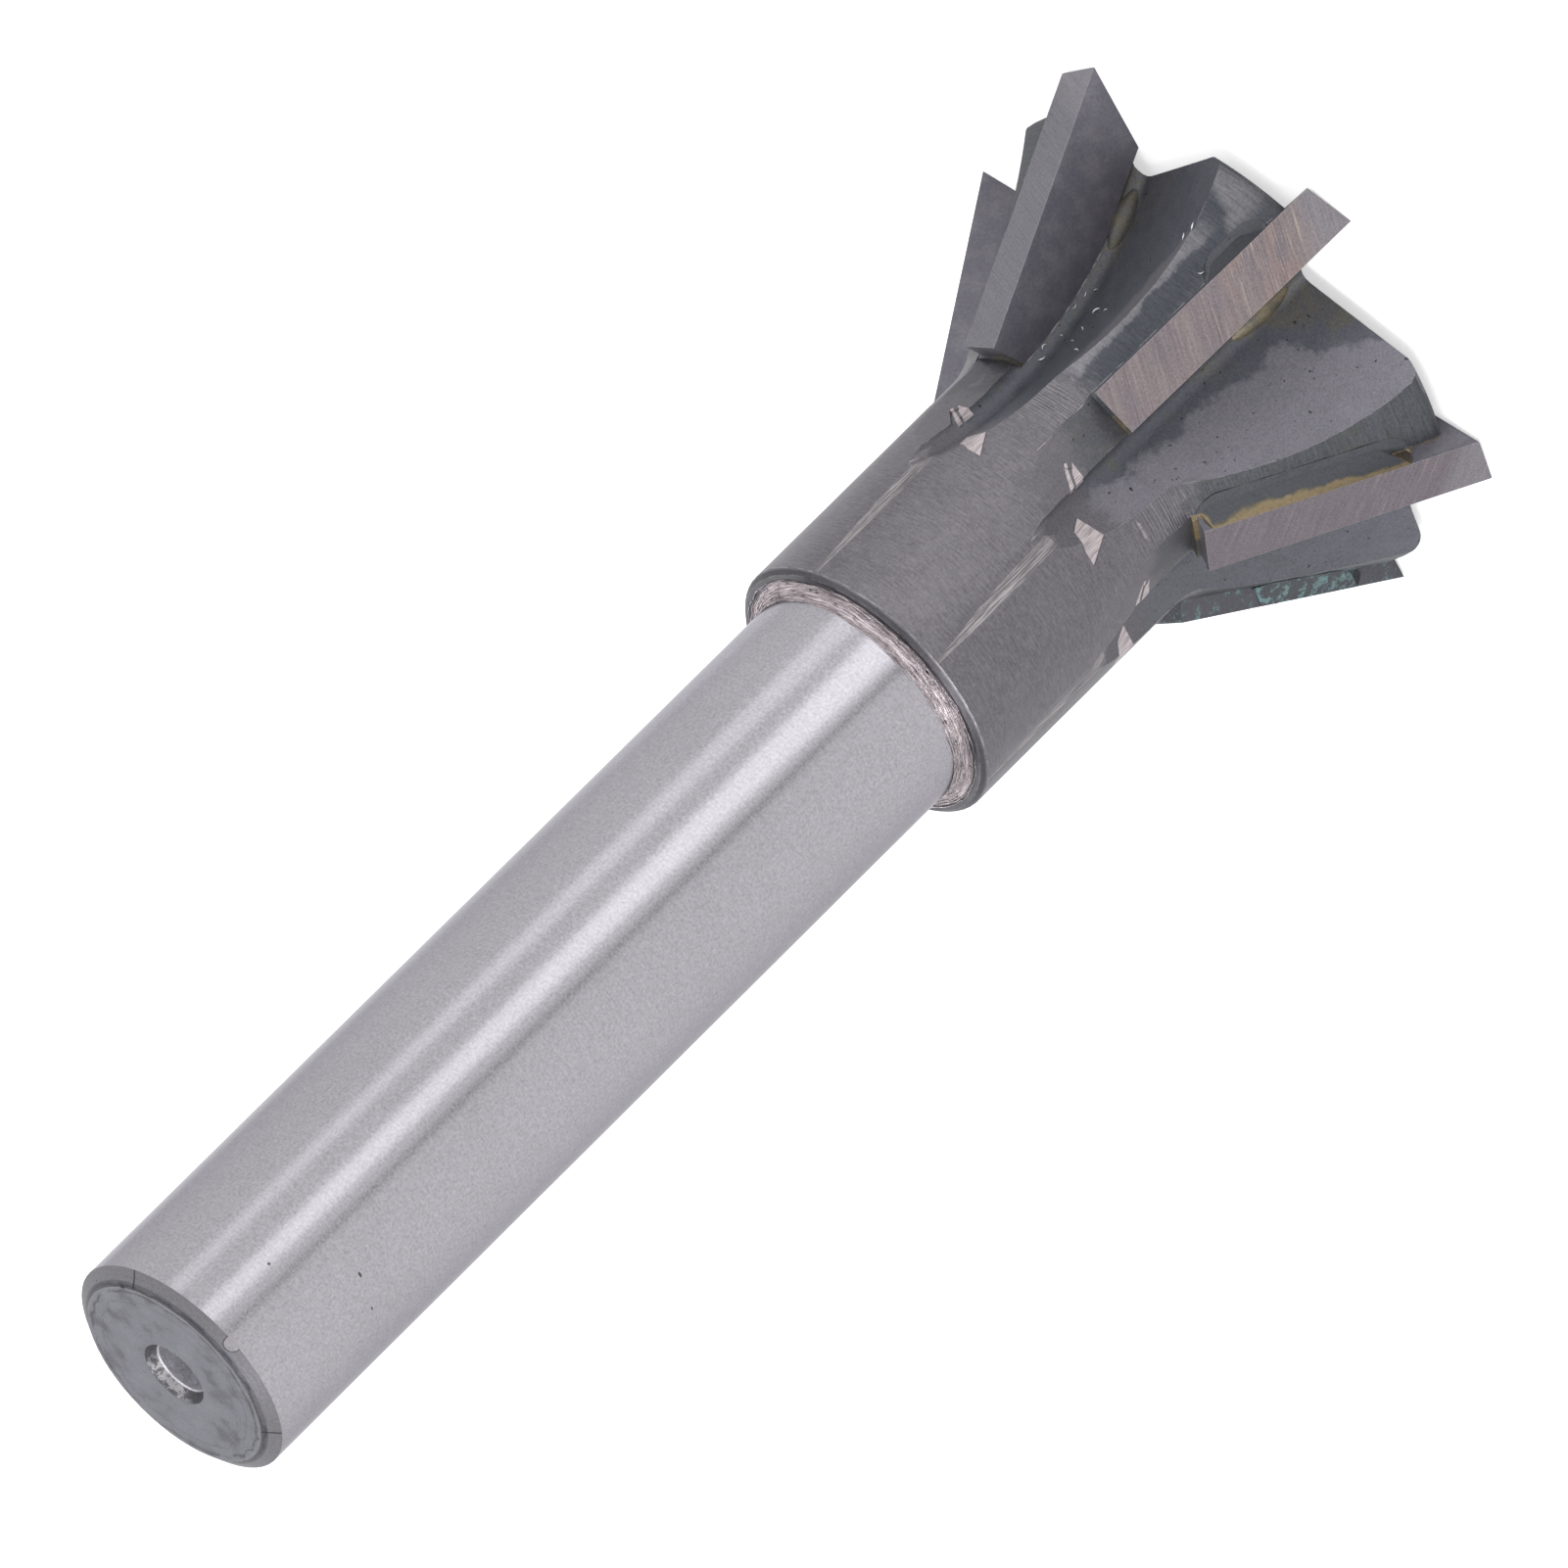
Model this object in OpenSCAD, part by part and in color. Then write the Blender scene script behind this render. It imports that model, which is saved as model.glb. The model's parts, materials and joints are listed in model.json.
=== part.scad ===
// Dovetail cutter: a turned steel body with a plain round shank, and six brazed carbide tips
// set in milled seats around a flared head. It stands on its cutting end, with the shank up.
// Origin: on the cutter's axis, in the plane of the tip points. Millimetres.

/* [Shank] */
// Diameter of the ground shank
shank_d = 16; // [12:0.5:17]
// Length of the shank, from its end to the shoulder
shank_len = 65.6; // [40:0.1:90]
// Bevel round the end of the shank
shank_bevel = 0.72; // [0.4:0.01:1.2]
// Rounding left by the tool in the corner between shank and shoulder
corner_r = 0.8; // [0.3:0.05:1]
// Mouth of the centre hole in the shank end
centre_mouth_d = 4.7; // [4.2:0.1:7]
// Pilot bore at the bottom of the centre hole
centre_pilot_d = 3.8; // [2:0.1:4]
// Depth of the pilot bore, from the end face
centre_depth = 6; // [4:0.5:10]

/* [Collar] */
// Diameter of the turned collar between shank and head
collar_d = 19.5; // [18.8:0.1:21]
// Bevel on the collar's shoulder edge
collar_bevel = 0.35; // [0.2:0.05:0.8]
// Height of the shoulder above the tip points
shoulder_z = 36.6; // [32:0.1:50]
// Hollow rounding where the collar meets the flared head
neck_r = 4; // [1:0.5:6]

/* [Cutting size] */
// Diameter over the tip points
cutting_d = 41; // [40:0.1:42.6]
// Angle between the cutting side and the end face
side_angle = 60; // [58:0.5:62]

/* [Head] */
// How far the steel end face stands back behind the tip points
face_back = 0.93; // [0.7:0.01:1.3]
// How far the steel side lies under the cutting edges, square to the side
side_back = 1.41; // [1.1:0.01:1.8]
// Rounding of the rim between the steel side and the end face
rim_r = 0.6; // [0.2:0.1:1]

/* [Tips] */
// Thickness of a carbide tip
tip_t = 3.35; // [2.6:0.05:3.8]
// Width of a tip, square to its cutting edge
tip_w = 5.55; // [4.9:0.05:6]
// Length of a tip along its cutting edge
tip_len = 18.8; // [16:0.1:19.4]
// Clearance angle ground on the side of a tip
side_relief = 8; // [4:0.5:12]
// Clearance angle ground on the end of a tip
end_relief = 4; // [2:0.5:8]

/* [Brazing] */
// Braze layer under and behind a tip
braze_t = 0.12; // [0.08:0.01:0.2]
// Braze layer at the upper end of a tip
braze_end_t = 0.3; // [0.15:0.05:0.5]
// How far the braze bead behind a tip would stand above its ground side
bead_rise = 0.06; // [0.02:0.01:0.2]
// Radius of the braze bead at the foot of a rake face
root_bead_r = 0.85; // [0.6:0.05:1]

/* [Gullets] */
// Radius of the milling cutter that makes a gullet
gullet_tool_r = 29.5; // [26:0.5:34]
// Nearest distance from the axis to the foot of a gullet
gullet_core_r = 8.12; // [7.6:0.02:9]
// Height at which a gullet is deepest
gullet_deep_z = 16.6; // [14:0.1:18]
// Slope of the gullet floor
gullet_floor_angle = 14.8; // [12:0.2:18]
// How far the gullet wall stands back behind the rake face of its tip
wall_back = 0.12; // [0.06:0.01:0.3]
// Rounding at the foot of a gullet
gullet_root_r = 1; // [0.4:0.1:1.4]

/* [Seats] */
// Radius of the slotting cutter that opens a seat into the neck
slot_tool_r = 30; // [20:1:40]
// Distance from the axis to the flat that the slotting cutter leaves
slot_flat_r = 9.15; // [8.8:0.01:9.5]
// Height at which that flat is deepest
slot_deep_z = 18.2; // [17:0.1:20]

/* [Tool marks] */
// Width of the witness groove on the collar, where it starts
mark_w = 0.76; // [0.4:0.02:1]
// Depth of that groove, where it starts
mark_depth = 0.13; // [0.08:0.01:0.25]
// Height at which the groove starts
mark_z = 24.8; // [24:0.1:30]
// Turn of its start from its tooth, about the axis
mark_turn = 7.1; // [5:0.1:9]
// Slant of the groove on the collar
mark_slant = 2.3; // [0:0.1:3]
// Slope at which the groove runs out towards the shoulder
mark_run_out = 0.6; // [0:0.05:0.6]
// Depth of the ground nicks on the neck
nick_depth = 0.1; // [0.06:0.01:0.16]
// Slope at which a nick runs out towards the head
nick_slope = 4.2; // [3:0.1:8]
// Height of the long nick on the collar
leaf_nick_z = 22.85; // [21:0.05:24]
// Height of the short nick on the seat's flat
edge_nick_z = 21; // [20:0.05:22]

/* [Hidden] */
$fn = 96;
eps = 0.01;
far = 60;
teeth = 6;
pitch = 360 / teeth;
// the first tooth points to the front
first_tooth = -90;
lean = 90 - side_angle;
tip_r = cutting_d / 2;
total_h = shoulder_z + shank_len;
// the steel side runs parallel to the cutting edges
rim_face_r = tip_r - side_back / cos(lean) - face_back * tan(lean);
collar_r = collar_d / 2;
neck_z = face_back + (rim_face_r - collar_r) / tan(lean);
// tangent lengths of the roundings at the rim and at the neck
rim_leg = rim_r / tan(side_angle / 2);
neck_leg = neck_r * tan(lean / 2);
// radius of the round tool that leaves the groove
mark_tool_r = (mark_w * mark_w / 4 + mark_depth * mark_depth) / (2 * mark_depth);
// length of the bead at the foot of each rake face, tooth by tooth
root_bead_len = [6.2, 5.4, 4.4, 3.8, 5.0, 6.0];
// middle and length of the bead behind each tip, measured along its edge from the point
back_bead_at = [6.4, 9.5, 9.8, 11, 8.4, 11.6];
back_bead_len = [5, 4, 9, 11.5, 8.6, 13.8];

// points of a round arc about c, from angle a to angle b
function arc(c, r, a, b, n) =
    [for (i = [0 : n]) c + r * [cos(a + (b - a) * i / n), sin(a + (b - a) * i / n)]];

// carries its children to one tooth: x outward, z up, the rake face in the plane y = 0
module at_tooth(i) rotate([0, 0, first_tooth + pitch * i]) children();

// carries its children to the cutting edge: x square to the side, z up along the edge
module along_edge() translate([tip_r, 0, 0]) rotate([0, -lean, 0]) children();

// Turned blank

// half section of the blank, before any milling
module blank_profile() {
    shank_r = shank_d / 2;
    rim_c = [rim_face_r - rim_leg, face_back + rim_r];
    neck_c = [collar_r + neck_r, neck_z + neck_leg];
    polygon(concat(
        [[0, face_back]],
        arc(rim_c, rim_r, -90, lean, 6),
        arc(neck_c, neck_r, 180 + lean, 180, 6),
        [[collar_r, shoulder_z - collar_bevel],
         [collar_r - collar_bevel, shoulder_z],
         [shank_r + corner_r, shoulder_z]],
        arc([shank_r + corner_r, shoulder_z + corner_r], corner_r, -90, -180, 5),
        [[shank_r, total_h - shank_bevel],
         [shank_r - shank_bevel * 1.5, total_h],
         [0, total_h]]));
}

// centre hole, drawn mouth up with its mouth in the plane z = 0
module centre_hole(mouth_d, depth) {
    cone_h = (mouth_d - centre_pilot_d) / 2 / tan(30);
    translate([0, 0, -depth]) cylinder(d = centre_pilot_d, h = depth + 1);
    translate([0, 0, -cone_h])
        cylinder(d1 = centre_pilot_d, d2 = mouth_d, h = cone_h);
    translate([0, 0, -eps]) cylinder(d = mouth_d, h = 1);
}

// Milling cuts

// the space swept by the gullet cutter: a disc whose rim is the sloping floor
module gullet_cut() {
    root_c = [gullet_tool_r - gullet_root_r, gullet_root_r];
    // the floor is tangent to the rounding at its foot
    floor_end = root_c[0] + gullet_root_r / cos(gullet_floor_angle)
        - (far / 2 - root_c[1]) * tan(gullet_floor_angle);
    translate([gullet_core_r + gullet_tool_r, wall_back, gullet_deep_z])
        rotate([90, 0, 0])
            rotate_extrude($fn = 180)
                polygon(concat(
                    [[0, 0]],
                    arc(root_c, gullet_root_r, -90, gullet_floor_angle, 5),
                    [[floor_end, far / 2],
                     [0, far / 2]]));
}

// the pocket for one tip, grown by the braze layers
module tip_pocket(under, end) {
    along_edge()
        translate([-tip_w - under, 0, -far / 2])
            cube([far / 2, tip_t + under, far / 2 + tip_len + end]);
}

// a seat: the pocket, and the slotting cutter's way out, which leaves a flat on the neck
module seat_cut() {
    depth = tip_t + braze_t;
    translate([0, depth, 0])
        rotate([90, 0, 0])
            linear_extrude(height = depth) {
                translate([tip_r, 0])
                    rotate(lean)
                        translate([-tip_w - braze_t, -far / 2])
                            square([far / 2, far / 2 + tip_len + braze_end_t]);
                translate([slot_flat_r + slot_tool_r, slot_deep_z])
                    circle(r = slot_tool_r, $fn = 180);
            }
}

// witness groove with a round start, open at the shoulder
module collar_mark() {
    rotate([0, 0, -mark_turn])
        translate([collar_r - mark_depth + mark_tool_r, 0, mark_z])
            rotate([mark_slant, mark_run_out, 0]) {
                cylinder(r = mark_tool_r, h = shoulder_z, $fn = 32);
                sphere(r = mark_tool_r, $fn = 32);
            }
}

// flat nick, deepest at a steep side towards the shank, at a distance reach from the axis
module ground_nick(turn, reach, z, slant, width) {
    rotate([0, 0, turn])
        translate([reach, 0, z])
            rotate([-slant, 0, 0])
                rotate([0, -nick_slope, 0])
                    translate([0, -width / 2, -4]) cube([3, width, 4]);
}

module cutter_body() {
    color("dimgray")
        difference() {
            rotate_extrude($fn = 120) blank_profile();
            translate([0, 0, total_h]) centre_hole(centre_mouth_d, centre_depth);
            translate([0, 0, face_back]) mirror([0, 0, 1])
                centre_hole(centre_mouth_d, centre_depth);
            for (i = [0 : teeth - 1])
                at_tooth(i) {
                    gullet_cut();
                    seat_cut();
                    collar_mark();
                    ground_nick(-16.7, collar_r - nick_depth, leaf_nick_z, 23, 6);
                    ground_nick(-29.4, collar_r - nick_depth / 2, leaf_nick_z - 3.4, 0, 6);
                    ground_nick(4.6, slot_flat_r, edge_nick_z, 40, 1.7);
                }
        }
}

// Carbide tips

// one tip: a flat bar, ground with clearance on its end and on its side
module tip_shape() {
    difference() {
        along_edge()
            translate([-tip_w, 0, -tip_w]) cube([tip_w, tip_t, tip_len + tip_w]);
        along_edge()
            rotate([0, 0, side_relief]) translate([0, -far / 2, -far / 2]) cube(far);
        rotate([end_relief, 0, 0]) translate([0, -far / 2, -far]) cube(far);
    }
}

module carbide_tip(i) color("rosybrown") at_tooth(i) tip_shape();

// Braze

// the layer between a tip and its seat, ending flush with the steel
module braze_layer() {
    intersection() {
        difference() {
            tip_pocket(braze_t, braze_end_t);
            tip_pocket(0, 0);
        }
        rotate_extrude($fn = 120) blank_profile();
    }
}

// the bead that fills the corner behind a tip and is ground off level with its side
module back_bead(at, len) {
    bead_r = side_back + bead_rise;
    end_z = len / 2 - bead_r;
    difference() {
        along_edge()
            intersection() {
                translate([-side_back, tip_t - braze_t, at]) {
                    cylinder(r = bead_r, h = 2 * end_z, center = true, $fn = 48);
                    for (end = [-end_z, end_z]) translate([0, 0, end]) sphere(r = bead_r, $fn = 48);
                }
                translate([-far / 2, tip_t, -far / 2]) cube(far);
                rotate([0, 0, side_relief]) translate([-far, -far / 2, -far / 2]) cube(far);
            }
        rotate_extrude($fn = 120) blank_profile();
    }
}

// the bead along the foot of a rake face, thick in its middle and thin at its ends
module root_bead(len) {
    half = len / 2;
    spindle_r = (half * half + root_bead_r * root_bead_r) / (2 * root_bead_r);
    half_turn = asin(half / spindle_r);
    foot_z = face_back + half;
    foot_dz = gullet_deep_z - foot_z;
    foot_x = gullet_core_r + gullet_tool_r
        - sqrt(gullet_tool_r * gullet_tool_r - foot_dz * foot_dz);
    foot_lean = asin(foot_dz / gullet_tool_r);
    difference() {
        intersection() {
            gullet_cut();
            translate([foot_x, -braze_t, foot_z])
                rotate([0, -foot_lean, 0])
                    rotate_extrude($fn = 48)
                        polygon(concat(
                            [[0, -half]],
                            arc([root_bead_r - spindle_r, 0], spindle_r, -0.9 * half_turn,
                                0.9 * half_turn, 8),
                            [[0, half]]));
        }
        tip_pocket(0, 0);
    }
}

module braze_seam(i)
    color("darkgoldenrod")
        at_tooth(i) {
            braze_layer();
            root_bead(root_bead_len[i]);
            back_bead(back_bead_at[i], back_bead_len[i]);
        }

cutter_body();
carbide_tip(0);  // tip_1
carbide_tip(1);  // tip_2
carbide_tip(2);  // tip_3
carbide_tip(3);  // tip_4
carbide_tip(4);  // tip_5
carbide_tip(5);  // tip_6
braze_seam(0);  // braze_1
braze_seam(1);  // braze_2
braze_seam(2);  // braze_3
braze_seam(3);  // braze_4
braze_seam(4);  // braze_5
braze_seam(5);  // braze_6
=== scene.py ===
import json
import math
import bmesh
import bpy
from mathutils import Matrix, Vector

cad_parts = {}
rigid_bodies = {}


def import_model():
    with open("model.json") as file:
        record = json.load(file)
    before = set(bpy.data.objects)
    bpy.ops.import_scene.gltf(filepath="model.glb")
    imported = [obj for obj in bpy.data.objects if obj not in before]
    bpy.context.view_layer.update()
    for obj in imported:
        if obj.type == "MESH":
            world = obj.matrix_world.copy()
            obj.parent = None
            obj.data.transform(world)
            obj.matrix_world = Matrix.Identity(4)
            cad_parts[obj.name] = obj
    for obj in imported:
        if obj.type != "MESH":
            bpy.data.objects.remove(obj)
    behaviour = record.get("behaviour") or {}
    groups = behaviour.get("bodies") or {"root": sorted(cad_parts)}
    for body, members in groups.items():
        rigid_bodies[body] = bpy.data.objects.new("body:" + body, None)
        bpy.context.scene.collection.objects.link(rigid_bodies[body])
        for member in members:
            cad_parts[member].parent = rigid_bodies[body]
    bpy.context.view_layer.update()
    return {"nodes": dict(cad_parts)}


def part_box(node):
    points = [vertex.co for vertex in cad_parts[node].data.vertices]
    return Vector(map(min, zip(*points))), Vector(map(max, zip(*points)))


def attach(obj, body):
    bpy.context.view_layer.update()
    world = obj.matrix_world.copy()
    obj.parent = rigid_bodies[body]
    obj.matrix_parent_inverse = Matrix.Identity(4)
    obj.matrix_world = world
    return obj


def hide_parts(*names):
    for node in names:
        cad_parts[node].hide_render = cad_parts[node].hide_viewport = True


# Dovetail cutter with brazed carbide tips, dressed and lit for its picture
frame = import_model()
nodes = frame["nodes"]
mm = 0.001
print("loaded", len(nodes), "solids")


# Sizes that the pieces share, worked out from the frame
def boxOf(name):
    low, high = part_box(name)
    return low / mm, high / mm


bodyLow, bodyHigh = boxOf("cutter_body")
tool = {
    "teeth": 6,
    "firstTooth": math.radians(-90),  # the first tooth points to the front
    "height": bodyHigh.z,
    "tipRadius": -boxOf("tip_1")[0].y,
    "faceZ": bodyLow.z,  # the steel end face
    "lean": math.radians(30),  # side of the head against the axis
    "shankRadius": 8.0,
    "collarRadius": 9.75,
    "shoulderZ": 36.6,
    "tipThickness": boxOf("tip_1")[1].x,
    "tipTop": boxOf("tip_1")[1].z,
}
tool["rimRadius"] = 18.335  # where the steel side meets the end face
tool["neckZ"] = tool["faceZ"] + (tool["rimRadius"] - tool["collarRadius"]) / math.tan(tool["lean"])


def sideRadius(z):
    cone = tool["rimRadius"] - (z - tool["faceZ"]) * math.tan(tool["lean"])
    return max(cone, tool["collarRadius"])


def toothAngle(i):
    return tool["firstTooth"] + math.radians(60) * i


# Shader maths
class Wire:
    # a socket that Python's operators can work on
    def __init__(self, finish, socket):
        self.finish = finish
        self.socket = socket

    def maths(self, operation, *values):
        return self.finish.add("ShaderNodeMath", {"operation": operation}, dict(enumerate(values)))

    def __add__(self, other):
        return self.maths("ADD", self, other)

    def __radd__(self, other):
        return self.maths("ADD", other, self)

    def __sub__(self, other):
        return self.maths("SUBTRACT", self, other)

    def __rsub__(self, other):
        return self.maths("SUBTRACT", other, self)

    def __mul__(self, other):
        return self.maths("MULTIPLY", self, other)

    def __rmul__(self, other):
        return self.maths("MULTIPLY", other, self)

    def __truediv__(self, other):
        return self.maths("DIVIDE", self, other)

    def __rtruediv__(self, other):
        return self.maths("DIVIDE", other, self)

    def __pow__(self, other):
        return self.maths("POWER", self, other)

    def __abs__(self):
        return self.maths("ABSOLUTE", self)

    def __mod__(self, other):
        return self.maths("FLOORED_MODULO", self, other)

    def sine(self):
        return self.maths("SINE", self)

    def cosine(self):
        return self.maths("COSINE", self)

    def root(self):
        return self.maths("SQRT", self)

    def least(self, other):
        return self.maths("MINIMUM", self, other)

    def most(self, other):
        return self.maths("MAXIMUM", self, other)

    def step(self, low, high, bottom=0.0, top=1.0):
        # rises smoothly from bottom to top between low and high
        return self.finish.add("ShaderNodeMapRange", {"interpolation_type": "SMOOTHSTEP"},
                               {"Value": self, "From Min": low, "From Max": high,
                                "To Min": bottom, "To Max": top})

    def near(self, centre, width):
        # 1 at the centre, 0 a width away
        return abs(self - centre).step(0.0, width, 1.0, 0.0)


class Tree:
    # a node tree, with one way to add a node
    def __init__(self, tree):
        self.tree = tree

    def add(self, kind, settings=None, inputs=None, out=0):
        node = self.tree.nodes.new(kind)
        for name, value in (settings or {}).items():
            setattr(node, name, value)
        for key, value in (inputs or {}).items():
            if isinstance(value, Wire):
                self.tree.links.new(value.socket, node.inputs[key])
            else:
                node.inputs[key].default_value = value
        return Wire(self, node.outputs[out])

    def point(self, x, y, z):
        return self.add("ShaderNodeCombineXYZ", inputs={0: x, 1: y, 2: z})

class Finish(Tree):
    # one procedural material and the places that its patterns read
    def __init__(self, name, metallic, roughness, turn=0.0):
        self.material = bpy.data.materials.new(name)
        self.material.use_nodes = True
        Tree.__init__(self, self.material.node_tree)
        self.shader = self.tree.nodes["Principled BSDF"]
        self.shader.inputs["Metallic"].default_value = metallic
        self.shader.inputs["Roughness"].default_value = roughness
        place = self.add("ShaderNodeTexCoord", out="Object")
        self.place = self.add("ShaderNodeMapping", {"vector_type": "POINT"},
                              {"Vector": place, "Rotation": (0, 0, turn),
                               "Scale": (1 / mm,) * 3})
        self.x = self.add("ShaderNodeSeparateXYZ", inputs={0: self.place})
        self.y = Wire(self, self.x.socket.node.outputs[1])
        self.z = Wire(self, self.x.socket.node.outputs[2])
        self.r = (self.x * self.x + self.y * self.y).root()
        self.angle = self.y.maths("ARCTAN2", self.y, self.x)

    def noise(self, place, scale=1.0, detail=3.0, rough=0.55):
        return self.add("ShaderNodeTexNoise", {"noise_dimensions": "3D"},
                        {"Vector": place, "Scale": scale, "Detail": detail, "Roughness": rough})

    def cells(self, place, scale):
        return self.add("ShaderNodeTexVoronoi", {"feature": "F1"},
                        {"Vector": place, "Scale": scale}, out="Distance")

    def mix(self, share, first, second, blend="MIX"):
        node = self.add("ShaderNodeMix", {"data_type": "RGBA", "blend_type": blend}).socket.node
        for key, value in ((0, share), (6, first), (7, second)):
            if isinstance(value, Wire):
                self.tree.links.new(value.socket, node.inputs[key])
            else:
                node.inputs[key].default_value = (*value, 1) if isinstance(value, tuple) else value
        return Wire(self, node.outputs[2])

    def tone(self, colour, factor):
        # the same colour, lighter or darker by a factor
        grey = self.point(factor, factor, factor)
        return self.mix(1.0, colour, grey, "MULTIPLY")

    def edges(self, radius):
        # 1 along the sharp edges, 0 on the flats
        rounded = self.add("ShaderNodeBevel", {"samples": 6}, {"Radius": radius * mm})
        flat = self.add("ShaderNodeNewGeometry", out="True Normal")
        match = self.add("ShaderNodeVectorMath", {"operation": "DOT_PRODUCT"},
                         {0: rounded, 1: flat}, out="Value")
        return match.step(0.93, 0.985, 1.0, 0.0)

    def inside(self, around, corners):
        # 1 inside a patch, whose corners go round it in mm round the axis and up it
        whirl = sum(x0 * z1 - x1 * z0 for (x0, z0), (x1, z1) in zip(corners, corners[1:] + corners[:1]))
        depth = None
        for (x0, z0), (x1, z1) in zip(corners, corners[1:] + corners[:1]):
            size = math.copysign(math.hypot(x1 - x0, z1 - z0), whirl)
            across = (self.z - z0) * ((x1 - x0) / size) - (around - x0) * ((z1 - z0) / size)
            depth = across if depth is None else depth.least(across)
        return depth.step(-0.03, 0.04)

    def bump(self, height, strength, distance=0.05 * mm):
        return self.add("ShaderNodeBump", {}, {"Height": height, "Strength": strength,
                                              "Distance": distance}, out="Normal")

    def show(self, **sockets):
        for name, value in sockets.items():
            name = name.replace("_", " ")
            if isinstance(value, Wire):
                self.tree.links.new(value.socket, self.shader.inputs[name])
            else:
                self.shader.inputs[name].default_value = value
        return self.material


# Ground shank
shankLook = {"colour": (0.4, 0.385, 0.418), "rim": (0.66, 0.66, 0.68, 1), "roughness": 0.2,
             "grain": 0.24, "sparkle": 0.85, "blotch": 0.05,
             # small dark flaws: degrees round the axis, height, half width round and up
             "flaws": [(-83.5, 96.18, 0.1, 0.1), (-115.6, 91.98, 0.2, 0.1), (-133.1, 92.34, 0.16, 0.06)]}


def makeShankSteel():
    look = shankLook
    f = Finish("groundShankSteel", 1.0, look["roughness"])
    around = f.angle * tool["shankRadius"]
    grain = f.noise(f.point(around * 0.5, f.z * 9.0, 0.0), 1.0, 3.0)
    sparkle = f.noise(f.place, 5.5, 2.0, 0.7)
    blotch = f.noise(f.point(around * 0.12, f.z * 0.09, 0.0), 1.0, 2.0)
    tone = 1.0 + (grain - 0.5) * look["grain"] + (sparkle - 0.5) * look["sparkle"] \
        + (blotch - 0.5) * look["blotch"] * 2
    colour = f.tone(look["colour"], tone)
    for angle, height, wide, high in look["flaws"]:
        gap = ((around - math.radians(angle) * tool["shankRadius"]) / wide) ** 2 \
            + ((f.z - height) / high) ** 2
        colour = f.mix((gap + sparkle - 0.5).step(0.6, 1.4, 0.85, 0.0), colour, (0.03, 0.028, 0.033))
    bump = f.bump(grain * 0.6 + sparkle * 0.8, 0.25, 0.01 * mm)
    return f.show(Base_Color=colour, Specular_Tint=look["rim"],
                  Roughness=look["roughness"] + (sparkle - 0.5) * 0.15, Normal=bump)


# Faced end of the shank, its bevel and its centre bore
endLook = {
    "colour": (0.095, 0.094, 0.112), "rimColour": (0.185, 0.18, 0.197), "stain": (0.058, 0.057, 0.068),
    # bright is the colour of the painted highlight on one side of the bore's countersink
    "boreHighlight": (0.3, 0.29, 0.305), "ringRadius": 6.55, "boreRadius": 2.4, "ringPitch": 0.28,
    # angle in degrees, from and to radius, half width: cracks in the bevel
    "cracks": [(-38, 6.9, 8.1, 0.07), (-152, 6.9, 8.1, 0.07), (-30, 6.7, 7.0, 0.2)],
    "chip": {"angle": -97, "width": 0.5},
}


def makeEndSteel():
    look = endLook
    f = Finish("facedEndSteel", 0.85, 0.4)
    wobble = f.noise(f.place, 0.8, 3.0)
    rings = ((f.r + wobble * 0.4) * (2 * math.pi / look["ringPitch"])).sine()
    stain = f.noise(f.place, 0.5, 5.0)
    colour = f.mix(stain.step(0.52, 0.66) * 0.75, look["colour"], look["stain"])
    # rough rim outside an uneven dark ring
    # painted shade: its flat face looks towards the light, so it is given a darker colour than its bevel
    bevel = f.r.step(7.22, 7.3)
    colour = f.mix(f.r.step(6.6, 6.9) * stain.step(0.4, 0.55), colour, (0.12, 0.118, 0.13))
    colour = f.mix(bevel, colour, look["rimColour"])
    ring = (f.r + (wobble - 0.5) * 0.9).near(look["ringRadius"], 0.15)
    ring = ring * stain.step(0.36, 0.5)
    colour = f.mix(ring * 0.85, colour, (0.028, 0.027, 0.034))
    innerRing = (f.r + (stain - 0.5) * 1.6).near(look["ringRadius"] - 0.8, 0.1)
    outerRing = (f.r + (stain - 0.5) * 0.8).near(look["ringRadius"] + 0.5, 0.12)
    colour = f.mix(innerRing.most(outerRing) * 0.5, colour, (0.04, 0.038, 0.046))
    for angle, inner, outer, width in look["cracks"]:
        turn = math.radians(angle)
        across = abs(f.y * math.cos(turn) - f.x * math.sin(turn) + (wobble - 0.5) * 0.3)
        along = f.x * math.cos(turn) + f.y * math.sin(turn)
        mark = across.step(width * 0.4, width * 1.4, 1.0, 0.0) * along.step(inner, inner + 0.1) \
            * along.step(outer, outer + 0.1, 1.0, 0.0)
        colour = f.mix(mark * 0.9, colour, (0.03, 0.028, 0.032))
    # a raised burr at the rim drawn only in colour: a painted shadow round it and a painted highlight on it
    turn = math.radians(look["chip"]["angle"])
    gap = (f.x * math.cos(turn) + f.y * math.sin(turn) - 7.9) ** 2 \
        + (f.y * math.cos(turn) - f.x * math.sin(turn)) ** 2
    chip = (gap + (wobble - 0.5) * 0.3).step(0.1, look["chip"]["width"] ** 2 + 0.12, 1.0, 0.0)
    colour = f.mix(chip.step(0.1, 0.3), colour, (0.07, 0.067, 0.075))
    colour = f.mix(chip.step(0.45, 0.7) * stain.step(0.25, 0.35), colour, (0.3, 0.285, 0.31))
    speck = f.noise(f.place, 6.0, 2.0)
    pits = f.noise(f.place, 2.2, 2.0).step(0.7, 0.76)
    colour = f.mix(pits, colour, (0.06, 0.06, 0.07))
    tone = 1.0 + rings * 0.02 + (speck - 0.5) * 0.6
    return f.show(Base_Color=f.tone(colour, tone), Roughness=0.34 + stain * 0.2,
                  Normal=f.bump(rings * 0.1 + stain - ring * 0.8 + speck * 0.3, 0.35, 0.03 * mm))


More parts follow.
